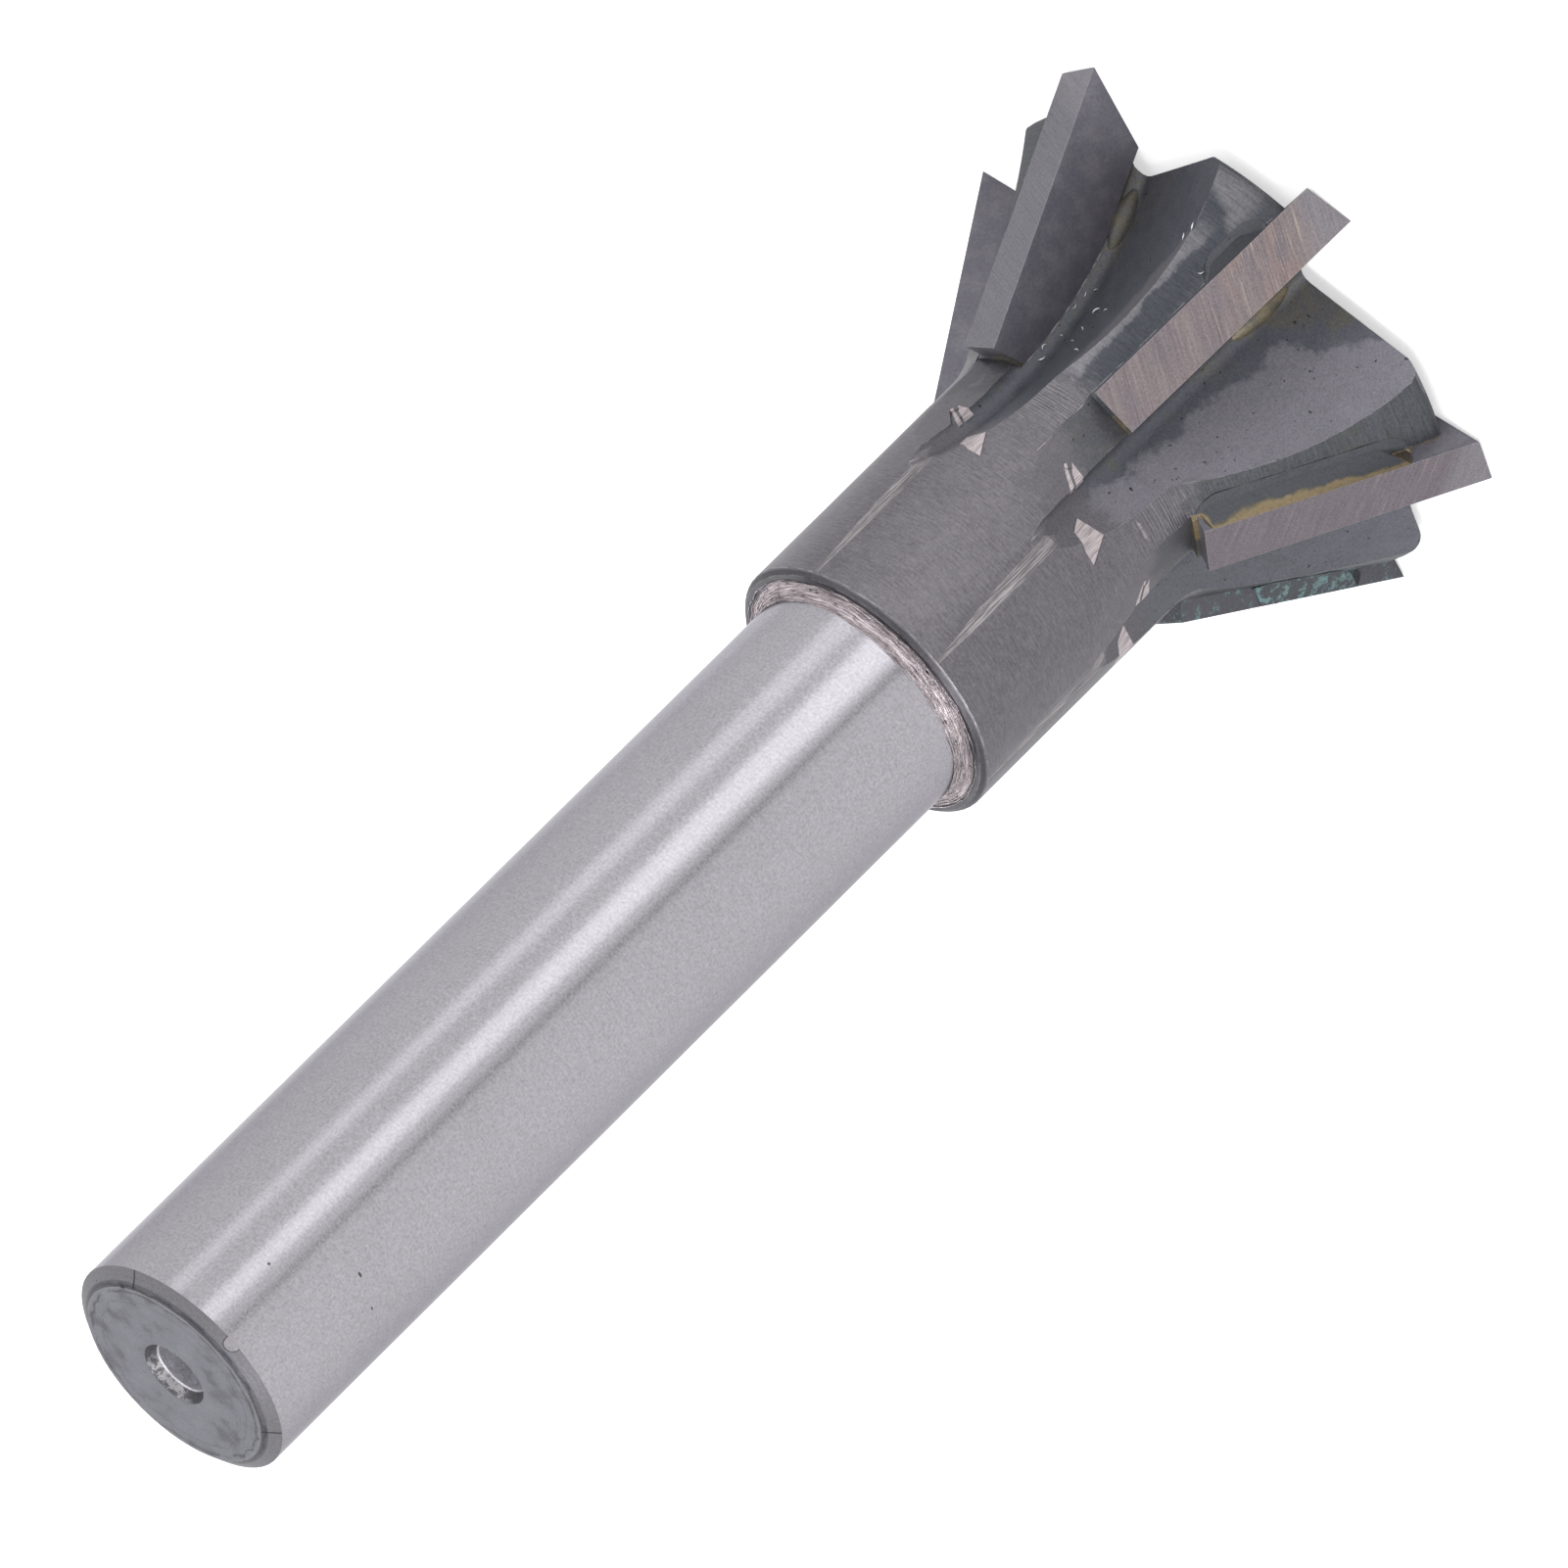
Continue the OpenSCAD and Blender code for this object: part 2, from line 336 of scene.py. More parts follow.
def makeBoreSteel():
    # countersink with chatter all round and a painted highlight on one side; the pilot hole, dark in its own
    # shade, gets a light colour, painted light that lifts that shade
    look = endLook
    f = Finish("boreSteel", 0.85, 0.34)
    chatter = f.noise(f.point(f.angle * 3.5, f.z * 1.6, f.r * 1.2), 1.0, 5.0, 0.7)
    # painted highlight: a bright crescent on one side of the countersink, broken up by the chatter
    side = (f.angle - math.radians(90)).cosine().step(0.3, 0.9)
    # painted light: the pilot hole's colour is lightened against the shade inside it
    pilotLift = f.r.step(1.93, 1.98, 1.0, 0.0)
    colour = f.mix(side * chatter.step(0.46, 0.56), (0.1, 0.098, 0.11), look["boreHighlight"])
    colour = f.mix(pilotLift, colour, (0.6, 0.59, 0.63))
    return f.show(Base_Color=f.tone(colour, 0.7 + chatter * 0.6), Roughness=0.42 + chatter * 0.2,
                  Normal=f.bump(chatter, 0.8, 0.08 * mm))


# Torn corner between the shank and the shoulder
tearLook = {"light": (0.63, 0.57, 0.59), "dark": (0.27, 0.23, 0.25), "pit": (0.04, 0.035, 0.04)}


def makeTornSteel(name, seed):
    f = Finish(name, 0.9, 0.34)
    around = f.angle * 9.0
    tear = f.noise(f.point(around * 0.6, f.r * 11.0 + seed, f.z * 11.0), 1.0, 4.0, 0.7)
    pits = f.noise(f.point(around * 1.5, f.r * 2.5 + seed, f.z * 2.5), 1.0, 3.0)
    colour = f.mix(tear.step(0.38, 0.6), tearLook["dark"], tearLook["light"])
    colour = f.mix(pits.step(0.62, 0.7), colour, tearLook["pit"])
    return f.show(Base_Color=f.tone(colour, 0.7 + tear * 0.6), Roughness=0.28 + pits * 0.22,
                  Normal=f.bump(tear, 0.9, 0.06 * mm))


# Turned collar and head
turnedLook = {
    "colour": (0.158, 0.15, 0.166), "flux": (0.08, 0.084, 0.096), "darkLand": (0.056, 0.061, 0.072), "rough": (0.18, 0.174, 0.19),
    "edge": (0.42, 0.4, 0.42), "fresh": (0.6, 0.53, 0.54), "linePitch": 0.21,
    # ground nicks, as corners: degrees behind a rake face and height
    "nicks": [[(-9.3, 21.95), (-19.7, 21.64), (-25.6, 23.42), (-19.4, 23.38), (-11.8, 22.92)],
              [(-24.4, 19.24), (-27, 19.03), (-35.6, 19.03), (-33, 19.25)]],
    "seatNicks": [[(9.8, 20.24), (9.1, 20.06), (-0.6, 20.93), (-0.6, 21.3)],
                  [(8.0, 19.74), (-0.6, 19.9), (-0.6, 20.74), (4.7, 20.26)]],
    # not a nick: a painted highlight with painted shade beside it, along the edge where the seat meets the land
    "seatEdgeHighlight": [(19.4, 16.0), (20.0, 16.0), (19.95, 20.9), (19.6, 20.9)],
    "groove": {"start": 24.5, "turn": -7.3, "slant": -0.215, "halfWidth": 0.5},
    # the land behind the first tip is rough and light along its gullet and at the head's end
    "roughLand": -64,
}


def roughRidge(f, cloud, speck):
    # a rough light strip along the gullet's edge on the land behind the first tip
    middle = math.radians(turnedLook["roughLand"] - 3.7) + (f.z - 5.6) * math.radians(0.9)
    offset = abs(f.angle - middle) * f.r + (cloud - 0.5) * 1.2 + (speck - 0.5) * 0.8
    return offset.step(0.45, 0.8, 0.8, 0.0) * f.z.step(3.8, 6.0) * f.z.step(14.5, 16.5, 1.0, 0.0)


def freshMarks(f, turn, patches, colour):
    # bright streaked steel where the nicks were ground, with a dark outline; the same marks also draw the painted
    # highlight along the seat's edge
    streak = f.noise(f.point(turn * 70.0, f.z * 0.4, 0.0), 1.0, 4.0, 0.65)
    shine = f.mix(streak.step(0.36, 0.6), (0.3, 0.27, 0.28), turnedLook["fresh"])
    around = turn * tool["collarRadius"]
    for corners in patches:
        flat = [(math.radians(a) * tool["collarRadius"], z) for a, z in corners]
        mark = f.inside(around, flat)
        dark = f.inside(around + 0.1, flat).most(f.inside(around - 0.1, flat))
        colour = f.mix(dark * 0.6, colour, (0.06, 0.057, 0.065))
        colour = f.mix(mark * 0.95, colour, shine)
    return colour


def makeTurnedSteel():
    look = turnedLook
    f = Finish("turnedSteel", 0.75, 0.42)
    around = f.angle * tool["collarRadius"]
    waver = f.noise(f.point(around * 0.15, f.z * 1.5, 0.0), 1.0, 2.0)
    lines = ((f.z + waver * 0.5) * (2 * math.pi / look["linePitch"])).sine()
    cutLines = f.noise(f.point(around * 1.1, f.z * 7.0, f.r * 0.4), 1.0, 2.0)
    speck = f.noise(f.place, 6.0, 2.0)
    cloud = f.noise(f.place, 0.5, 4.0)
    # below the neck the side is dark with flux
    low = (f.z + (cloud - 0.5) * 4.0).step(14.0, 16.5, 1.0, 0.0)
    colour = f.mix(low, look["colour"], look["flux"])
    land = (f.angle - math.radians(look["roughLand"])).cosine().step(0.975, 0.99) * low
    colour = f.mix(land, colour, look["darkLand"])
    ridge = roughRidge(f, cloud, speck)
    headEnd = (f.z + (cloud - 0.5) * 3.0 + f.angle * 9.0).step(-8.0, -7.0, 1.0, 0.0)
    colour = f.mix((headEnd * land * 0.8).most(ridge), colour, look["rough"])
    olive = f.noise(f.place, 0.4, 3.0).step(0.5, 0.64) * low
    colour = f.mix(olive * 0.35 * (1.0 - land), colour, (0.08, 0.085, 0.07))
    neck = f.z.near(17.3, 2.4)
    colour = f.mix(neck * (1.0 - low) * 0.35, colour, (0.22, 0.215, 0.23))
    tone = 1.0 + lines * (0.012 + neck * 0.26) * (1.0 - low) + (cutLines - 0.5) * 0.85 \
        + (speck - 0.5) * 0.85 + (cloud - 0.5) * 0.3
    colour = f.tone(colour, tone)
    # painted shade: the shoulder looks towards the light, so its colour is darkened to render it dark like the
    # collar
    shoulder = f.z.step(36.3, 36.4)
    colour = f.mix(shoulder * 0.62, colour, (0.02, 0.02, 0.024))
    turn = (f.angle - tool["firstTooth"] + math.radians(38)) % math.radians(60) - math.radians(38)
    colour = freshMarks(f, turn, look["nicks"][:1], colour)
    besideSixth = (f.angle - math.radians(-120)).cosine().step(0.975, 0.98)
    colour = f.mix(besideSixth * 0.5, colour, freshMarks(f, turn, look["nicks"][1:], colour))
    # painted highlight and painted shade along the seat's edge, drawn through the nick marks and broken up
    broken = f.noise(f.place, 0.9, 5.0, 0.7).step(0.4, 0.58)
    colour = f.mix(broken * 0.6, colour, freshMarks(f, turn, [look["seatEdgeHighlight"]], colour))
    groove = look["groove"]
    centre = (f.z - groove["start"]) * math.radians(groove["slant"]) + math.radians(groove["turn"])
    halfWidth = f.z.step(29.0, 36.4, groove["halfWidth"], 0.15)
    offset = abs(turn - centre) * tool["collarRadius"]
    mark = (halfWidth - offset).step(-0.03, 0.05) * f.z.step(groove["start"] - 0.1, groove["start"] + 0.1) \
        * f.z.step(36.15, 36.25, 1.0, 0.0)
    streak = f.noise(f.point(turn * 90.0, f.z * 0.35, 0.0), 1.0, 4.0, 0.7)
    grooved = f.mix(streak.step(0.42, 0.62), (0.16, 0.152, 0.16), (0.42, 0.39, 0.4))
    colour = f.mix(mark * 0.9, colour, grooved)
    # light along sharp edges: partly real wear, partly painted highlight where the edges would catch the light
    edgeWearAndHighlight = f.edges(0.07) * f.noise(f.place, 1.3, 3.0).step(0.44, 0.54)
    # a broken light line on the shoulder's rim edge, partly wear and partly painted highlight
    rimWearAndHighlight = f.z.near(36.27, 0.04) * f.noise(f.place, 0.8, 3.0, 0.7).step(0.44, 0.6) * 0.6
    # a dark uneven band lies outside the torn corner
    band = (f.r + (cloud - 0.5) * 0.5 + (speck - 0.5) * 0.3).near(8.95, 0.16) * shoulder
    colour = f.mix(band * 0.7, colour, (0.012, 0.011, 0.014))
    colour = f.mix((edgeWearAndHighlight * 0.75).most(rimWearAndHighlight), colour, look["edge"])
    return f.show(Base_Color=colour, Roughness=0.36 + speck * 0.16,
                  Normal=f.bump(lines * (0.1 + neck * 0.5) + cutLines * 0.6 + speck * 0.3, 0.45, 0.03 * mm))


# Milled gullets, walls and seats
gulletLook = {
    "floor": (0.188, 0.18, 0.207), "flux": (0.1, 0.103, 0.123), "olive": (0.112, 0.107, 0.088),
    "gold": (0.17, 0.14, 0.075), "pit": (0.03, 0.03, 0.035),
    # the gullet at this angle is dark with flux all over, with a gold stain at its wall's foot
    "dark": {"angle": -50, "share": 1.0, "from": -36}, "dim": {"angle": -172, "share": 0.75},
}


def makeGulletSteel(name, shade=1.0, extra=0.0, oliveShare=0.8):
    # extra is how much farther than usual the dark flux reaches from the rake face
    # shade scales the whole colour: painted shade, 0.85 on the walls, which face away from the light
    look = gulletLook
    f = Finish(name, 0.6, 0.46)
    turn = (f.angle - tool["firstTooth"] + math.radians(38)) % math.radians(60) - math.radians(38)
    fromWall = 0.0 - turn.sine() * f.r
    edge = f.noise(f.place, 0.5, 5.0, 0.6)
    reach = 2.6 + extra + (5.5 - f.z).most(0.0) * 0.95 - (f.z - 8.0).most(0.0) * 0.1
    inside = reach - fromWall + (edge - 0.5) * 4.5
    dark = (f.angle - math.radians(look["dark"]["angle"])).cosine().step(0.91, 0.95)
    dim = (f.angle - math.radians(look["dim"]["angle"])).cosine().step(0.93, 0.97)
    zone = inside.step(-0.3, 0.5).most(dark * look["dark"]["share"]).most(dim * look["dim"]["share"])
    if extra:
        zone = f.noise(f.place, 0.4, 5.0, 0.6).step(0.3, 0.5)
    colour = f.mix(zone, look["floor"], look["flux"])
    olive = (inside + (f.noise(f.place, 0.9, 3.0) - 0.5) * 5.0).step(1.0, 3.0) * zone
    blotch = f.noise(f.place, 0.9, 5.0).step(0.38, 0.6)
    colour = f.mix(olive * oliveShare * (1.0 - dark * 0.5) * (0.4 + blotch * 0.6), colour, look["olive"])
    stain = (f.noise(f.point(f.x, f.y, f.z * 0.5), 3.4, 5.0, 0.7)).step(0.46, 0.66) \
        * (fromWall + edge * 0.8).near(0.75, 0.8) * f.z.step(0.8, 2.0) * f.z.step(5.5, 8.0, 1.0, 0.0)
    golden = (f.angle - math.radians(look["dark"]["from"])).cosine().step(0.96, 0.985)
    colour = f.mix(stain * golden * 0.85, colour, look["gold"])
    pits = f.noise(f.place, 2.4, 2.0).step(0.68, 0.74)
    colour = f.mix(pits, colour, look["pit"])
    cloud = f.noise(f.place, 0.9, 5.0)
    speck = f.noise(f.place, 7.0, 2.0)
    tone = shade + (cloud - 0.5) * 0.45 + (speck - 0.5) * 0.8
    colour = f.tone(colour, tone)
    colour = f.mix(roughRidge(f, cloud, speck), colour, turnedLook["rough"])
    # towards the collar it is as bare as the collar
    start = 18.2 if extra else 19.6
    bare = (f.z + (cloud - 0.5) * 4.0).step(start, start + 1.6)
    shadeNear = (0.97 if extra else 0.78) + (speck - 0.5) * 0.8
    colour = f.mix(bare * 0.85, colour, f.tone(turnedLook["colour"], shadeNear))
    marks = turnedLook["seatNicks"] + turnedLook["nicks"][:1]
    colour = freshMarks(f, turn, marks, colour)
    # light along sharp edges: partly real wear, partly painted highlight where the edges would catch the light
    edgeWearAndHighlight = f.edges(0.06) * f.noise(f.place, 1.3, 3.0).step(0.48, 0.58)
    colour = f.mix(edgeWearAndHighlight * 0.7, colour, turnedLook["edge"])
    return f.show(Base_Color=colour, Roughness=0.42 + cloud * 0.2,
                  Normal=f.bump(cloud * 0.8 + speck * 0.3 - pits, 0.35, 0.05 * mm))


# Body: a smooth-shaded copy of the turned and milled steel, one finish for each kind of surface
def turnOf(point):
    # degrees behind the nearest rake face
    turn = math.degrees(math.atan2(point.y, point.x) - tool["firstTooth"]) + 38
    return turn % 60 - 38


def kindOf(face):
    centre, normal = face.calc_center_median(), face.normal
    z, r = centre.z / mm, math.hypot(centre.x, centre.y) / mm
    radii = [math.hypot(v.co.x, v.co.y) / mm for v in face.verts]
    if r < 2.6 and (z > 94 or z < 8) and min(radii) < 2.3:
        return "bore"
    if z > tool["shoulderZ"] + 0.82:
        return "end" if normal.z > 0.3 else "shank"
    if z > tool["shoulderZ"] and max(radii) < 8.85:
        return "tear"
    if z > tool["shoulderZ"] - 0.36 and normal.z > 0.3:
        return "turned"
    if normal.z < -0.99:
        return "end"
    if z > 24.4 or 21.7 < z and r > tool["collarRadius"] - 0.12:
        return "turned"
    turn = math.radians(turnOf(centre))
    rake = math.atan2(centre.y, centre.x) - turn
    across = Vector((-math.sin(rake), math.cos(rake), 0))
    y = r * math.sin(turn)
    if abs(normal.dot(across)) > 0.99:
        return "wall" if y < 1 else "seat"
    if all(abs(radius - sideRadius(v.co.z / mm)) < 0.2 for radius, v in zip(radii, face.verts)):
        return "turned"
    return "gullet" if y < 0.2 else "seat"


def dressBody():
    bm = bmesh.new()
    bm.from_mesh(nodes["cutter_body"].data)
    bmesh.ops.remove_doubles(bm, verts=bm.verts, dist=1e-7)
    finishes = {
        "shank": makeShankSteel(), "end": makeEndSteel(), "bore": makeBoreSteel(),
        "tear": makeTornSteel("tornSteel", 0.0), "turned": makeTurnedSteel(),
        "gullet": makeGulletSteel("gulletSteel"), "wall": makeGulletSteel("wallSteel", 0.85, 9.0),
        "seat": makeGulletSteel("seatSteel", 1.0, 9.0, 0.35),
    }
    kinds = list(finishes)
    for face in bm.faces:
        face.material_index = kinds.index(kindOf(face))
        face.smooth = True
    for edge in bm.edges:
        edge.smooth = len(edge.link_faces) == 2 and edge.calc_face_angle(0) < math.radians(24)
    mesh = bpy.data.meshes.new("cutterSteel")
    bm.to_mesh(mesh)
    bm.free()
    for kind in kinds:
        mesh.materials.append(finishes[kind])
    body = bpy.data.objects.new("cutterSteel", mesh)
    bpy.context.scene.collection.objects.link(body)
    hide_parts("cutter_body")
    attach(body, "root")
    print("dressed the body:", len(mesh.polygons), "faces")
    return body


# Carbide tips
tipLooks = [
    {"flank": (0.212, 0.185, 0.202), "line": (0.46, 0.38, 0.31), "lines": 0.8, "warm": 1.0},
    {"flank": (0.19, 0.186, 0.21), "line": (0.24, 0.235, 0.26), "lines": 0.25, "warm": 0.0},
    {"flank": (0.19, 0.18, 0.195), "line": (0.26, 0.24, 0.25), "lines": 0.35, "warm": 0.2},
    {"flank": (0.2, 0.185, 0.2), "line": (0.28, 0.25, 0.25), "lines": 0.45, "warm": 0.3},
    {"flank": (0.19, 0.175, 0.19), "line": (0.27, 0.24, 0.25), "lines": 0.4, "warm": 0.2},
    {"flank": (0.185, 0.165, 0.185), "line": (0.27, 0.24, 0.255), "lines": 0.4, "warm": 0.15},
]
tipBevel = 0.04


def makeFlankCarbide(i):
    look = tipLooks[i]
    f = Finish("groundFlank%d" % (i + 1), 0.85, 0.36, -toothAngle(i))
    # height along the cutting edge, and the grinding lines that cross it at a slant
    along = f.z / math.cos(tool["lean"])
    slant = along * 0.86 + f.y * 0.5
    track = f.y - along * 0.3
    fine = f.noise(f.point(slant / 0.1, track * 0.25, i * 7.0), 1.0, 2.0, 0.6)
    lines = f.noise(f.point(slant / 0.17, track * 0.16, i * 5.0), 1.0, 3.0, 0.7)
    broad = f.noise(f.point(slant * 0.5, track * 0.1, i * 3.0), 1.0, 2.0)
    speck = f.noise(f.place, 7.0, 2.0)
    # the lines are golden in the middle and fade towards the shank
    headward = along.step(5.0, 12.0, 1.0, 0.2)
    share = (lines.step(0.54, 0.7) * look["lines"] * headward + (broad - 0.4).most(0.0) * look["lines"])
    colour = f.mix(share.least(1.0), look["flank"], look["line"])
    rosy = f.noise(f.point(slant * 0.7, track * 0.3, i * 11.0), 1.0, 2.0).step(0.45, 0.6) * headward
    colour = f.mix(rosy * look["warm"] * 0.35, colour, (0.36, 0.25, 0.22))
    corner = (along + f.y * 0.6).step(2.4, 4.2, 1.0, 0.0)
    colour = f.mix(corner * 0.7, colour, (0.26, 0.25, 0.275))
    tone = 0.82 + (fine - 0.5) * (0.35 + 0.5 * look["lines"]) + lines * 0.3 + (speck - 0.5) * 0.75
    colour = f.tone(colour, tone)
    # light along sharp edges: partly real chipping and wear, partly painted highlight where the edges would catch
    # the light
    edgeWearAndHighlight = f.edges(0.06) * f.noise(f.place, 2.0, 3.0).step(0.42, 0.56)
    colour = f.mix(edgeWearAndHighlight * 0.7, colour, (0.5, 0.47, 0.47))
    return f.show(Base_Color=colour, Roughness=0.3 + lines * 0.15,
                  Normal=f.bump(lines * 0.5 + fine, 0.35, 0.02 * mm))


def makeRakeCarbide():
    f = Finish("rakeCarbide", 0.7, 0.45)
    cloud = f.noise(f.place, 0.6, 4.0)
    speck = f.noise(f.place, 5.0, 2.0)
    colour = f.mix(cloud.step(0.4, 0.65), (0.185, 0.177, 0.21), (0.23, 0.22, 0.25))
    # green flecks on the back of the fifth tip
    flecks = f.noise(f.place, 1.3, 6.0, 0.75).step(0.54, 0.62)
    flecked = (f.angle - math.radians(164)).cosine().step(0.988, 0.995)
    colour = f.mix(flecked * 0.8, colour, (0.085, 0.087, 0.1))
    colour = f.mix(flecks * flecked * 0.8, colour, brazeLook["teal"])
    colour = f.tone(colour, 0.75 + speck * 0.5)
    # light along sharp edges: partly real chipping and wear, partly painted highlight where the edges would catch
    # the light
    edgeWearAndHighlight = f.edges(0.06) * f.noise(f.place, 2.0, 3.0).step(0.46, 0.58)
    colour = f.mix(edgeWearAndHighlight * 0.6, colour, (0.45, 0.43, 0.43))
    return f.show(Base_Color=colour, Roughness=0.42 + cloud * 0.12,
                  Normal=f.bump(speck, 0.3, 0.02 * mm))


def dressTip(i, rakeFinish):
    name = "tip_%d" % (i + 1)
    bm = bmesh.new()
    bm.from_mesh(nodes[name].data)
    bmesh.ops.remove_doubles(bm, verts=bm.verts, dist=1e-7)
    bmesh.ops.dissolve_limit(bm, angle_limit=math.radians(1), verts=bm.verts, edges=bm.edges)
    bmesh.ops.bevel(bm, geom=list(bm.edges), offset=tipBevel * mm, segments=2, affect="EDGES",
                    profile=0.5, clamp_overlap=True)
    angle = toothAngle(i)
    outward = Vector((math.cos(angle), math.sin(angle), 0))
    flankWay = outward * math.cos(tool["lean"]) + Vector((0, 0, math.sin(tool["lean"])))
    for face in bm.faces:
        ground = face.normal.dot(flankWay) > 0.7 or face.normal.z < -0.8
        face.material_index = 0 if ground else 1
    mesh = bpy.data.meshes.new("carbideTip%d" % (i + 1))
    bm.to_mesh(mesh)
    bm.free()
    mesh.materials.append(makeFlankCarbide(i))
    mesh.materials.append(rakeFinish)
    tip = bpy.data.objects.new("carbideTip%d" % (i + 1), mesh)
    bpy.context.scene.collection.objects.link(tip)
    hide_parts(name)
    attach(tip, "root")


# Braze: gold where it is bare, olive and dark where flux covers it
brazeLook = {
    "gold": (0.25, 0.195, 0.115), "olive": (0.115, 0.107, 0.085), "flux": (0.1, 0.102, 0.12),
    "landFlux": (0.08, 0.084, 0.096),
    "teal": (0.17, 0.28, 0.285),
    # for each tooth, how bare the bead in front of the tip and the one behind it are
    "front": [0.66, 0.5, 0.4, 0.4, 0.3, 0.45],
    "back": [0.0, 0.0, 0.3, 0.3, 0.0, 1.0],
    "tealAt": [0, 0, 0, 0, 1, 0],
    # how high the bead behind a tip stands: thin flux film or full bead
    "height": [0.0, 0.0, 0.7, 0.7, 0.15, 0.12],
}


def makeBraze(i):
    look = brazeLook
    f = Finish("brazeMetal%d" % (i + 1), 0.6, 0.45, -toothAngle(i))
    cloud = f.noise(f.point(f.x, f.y, f.z * 0.6), 1.4, 5.0, 0.65)
    speck = f.noise(f.place, 6.0, 2.0)
    behind = f.y.step(1.4, 1.8)
    # on the bead behind a tip only a narrow strip, widest in its middle, is bright
    strip = f.z.step(4.5, 9.0, 0.1, 0.3) * f.z.step(12.5, 16.2, 1.0, 0.3)
    wave = f.noise(f.point(f.x, f.y, f.z * 0.35), 1.0, 3.0)
    ground = (strip - (f.y - tool["tipThickness"]) + (wave - 0.5) * 0.4).step(-0.12, 0.12)
    bare = behind * ground * look["back"][i] + (1.0 - behind) * look["front"][i]
    share = cloud - 0.5 + bare
    colour = f.mix(behind, look["flux"], look["landFlux"])
    colour = f.mix(share.step(0.25, 0.6), colour, look["olive"])
    colour = f.mix(share.step(0.5, 0.95), colour, look["gold"])
    flecks = f.noise(f.place, 1.5, 5.0, 0.7).step(0.5, 0.6) * look["tealAt"][i]
    colour = f.mix(flecks * 0.8, colour, look["teal"])
    return f.show(Base_Color=f.tone(colour, 0.7 + speck * 0.6), Roughness=0.42 + cloud * 0.2,
                  Normal=f.bump(cloud + speck * 0.5, 0.6, 0.06 * mm))


def dressBraze():
    # copies of the seams, their bead behind the tip sunk to the fillet that the tool shows
    pieces = []
    for i in range(tool["teeth"]):
        name = "braze_%d" % (i + 1)
        bm = bmesh.new()
        bm.from_mesh(nodes[name].data)
        bmesh.ops.remove_doubles(bm, verts=bm.verts, dist=1e-7)
        angle = toothAngle(i)
        for vert in bm.verts:
            radius = math.hypot(vert.co.x, vert.co.y) / mm
            behind = (vert.co.y * math.cos(angle) - vert.co.x * math.sin(angle)) / mm - tool["tipThickness"]
            side = sideRadius(vert.co.z / mm)
            rise = radius - side
            if behind > 0.01 and rise > 0.02:
                keep = brazeLook["height"][i] * max(0.0, 1 - behind / 1.5) ** 1.3
                grown = (side + max(0.02, rise * keep)) / radius
                vert.co.x *= grown
                vert.co.y *= grown
        for edge in bm.edges:
            edge.smooth = len(edge.link_faces) == 2 and edge.calc_face_angle(0) < math.radians(30)
        for face in bm.faces:
            face.smooth = True
        mesh = bpy.data.meshes.new("brazeSeam%d" % (i + 1))
        bm.to_mesh(mesh)
        bm.free()
        mesh.materials.append(makeBraze(i))
        seam = bpy.data.objects.new("brazeSeam%d" % (i + 1), mesh)
        bpy.context.scene.collection.objects.link(seam)
        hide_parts(name)
        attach(seam, "root")
        pieces.append(seam)
    return pieces


# Grown pieces: what repeats comes from a Geometry Nodes tree
def growPiece(name, values, build):
    group = bpy.data.node_groups.new(name, "GeometryNodeTree")
    group.interface.new_socket("Shape", in_out="OUTPUT", socket_type="NodeSocketGeometry")
    kinds = {int: "NodeSocketInt", float: "NodeSocketFloat", bpy.types.Object: "NodeSocketObject",
             bpy.types.Material: "NodeSocketMaterial"}
    for label, value in values.items():
        kind = next(socket for known, socket in kinds.items() if isinstance(value, known))
        group.interface.new_socket(label, in_out="INPUT", socket_type=kind)
    tree = Tree(group)
    start = tree.add("NodeGroupInput").socket.node
    given = {label: Wire(tree, start.outputs[label]) for label in values}
    real = tree.add("GeometryNodeRealizeInstances", {}, {"Geometry": build(tree, given)})
    dressed = tree.add("GeometryNodeSetMaterial", {}, {"Geometry": real, "Material": given["Finish"]})
    end = group.nodes.new("NodeGroupOutput")
    group.links.new(dressed.socket, end.inputs[0])
    grower = bpy.data.objects.new(name + "Grower", bpy.data.meshes.new(name + "Seed"))
    bpy.context.scene.collection.objects.link(grower)
    modifier = grower.modifiers.new(name, "NODES")
    modifier.node_group = group
    for item in group.interface.items_tree:
        if item.in_out == "INPUT":
            modifier[item.identifier] = values[item.name]
    depsgraph = bpy.context.evaluated_depsgraph_get()
    mesh = bpy.data.meshes.new_from_object(grower.evaluated_get(depsgraph))
    bpy.data.objects.remove(grower)
    mesh.name = name
    piece = bpy.data.objects.new(name, mesh)
    bpy.context.scene.collection.objects.link(piece)
    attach(piece, "root")
    print("grew", name + ":", len(mesh.polygons), "faces")
    return piece


def randomOf(tree, low, high, seed, name="FLOAT"):
    return tree.add("FunctionNodeRandomValue", {"data_type": name},
                    {"Min": low, "Max": high, "Seed": seed}, out=1)


# Torn strands that lie round the corner between the shank and the shoulder
strandLook = {"Count": 420, "Shortest": 0.8, "Longest": 5.0, "Thinnest": 0.012, "Thickest": 0.038,
              "Corner": 0.8, "Seed": 4}


